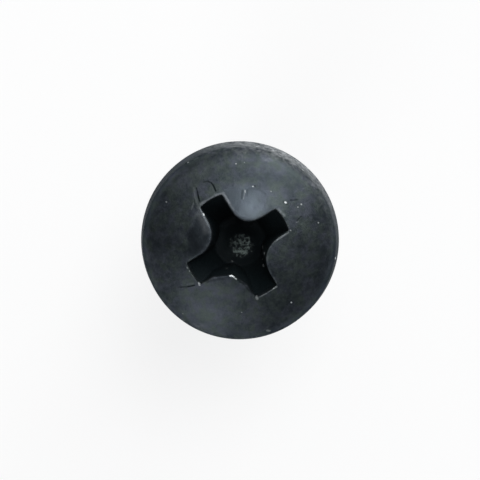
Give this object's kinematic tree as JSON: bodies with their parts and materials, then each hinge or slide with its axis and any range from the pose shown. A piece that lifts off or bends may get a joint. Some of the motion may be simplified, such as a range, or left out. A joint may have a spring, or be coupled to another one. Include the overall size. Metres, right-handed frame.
{
  "type": "pan head machine screw",
  "caption": "Short pan head machine screw in blackened steel, with a cross recess in its domed head, a plain neck and a coarse thread down to a chamfered flat end.",
  "frame": {"origin": "centre of the flat bearing face under the head, on the screw's axis", "axes": "+Z along the axis and out through the crown of the head, so the shank points along -Z; the wings of the recess are turned 31.5 degrees from +X"},
  "size_m": [0.0094, 0.0094, 0.0155],
  "materials": {
    "blackened_steel": "satin"
  },
  "bodies": {
    "root": {"screw": "blackened_steel"}
  },
  "joints": []
}
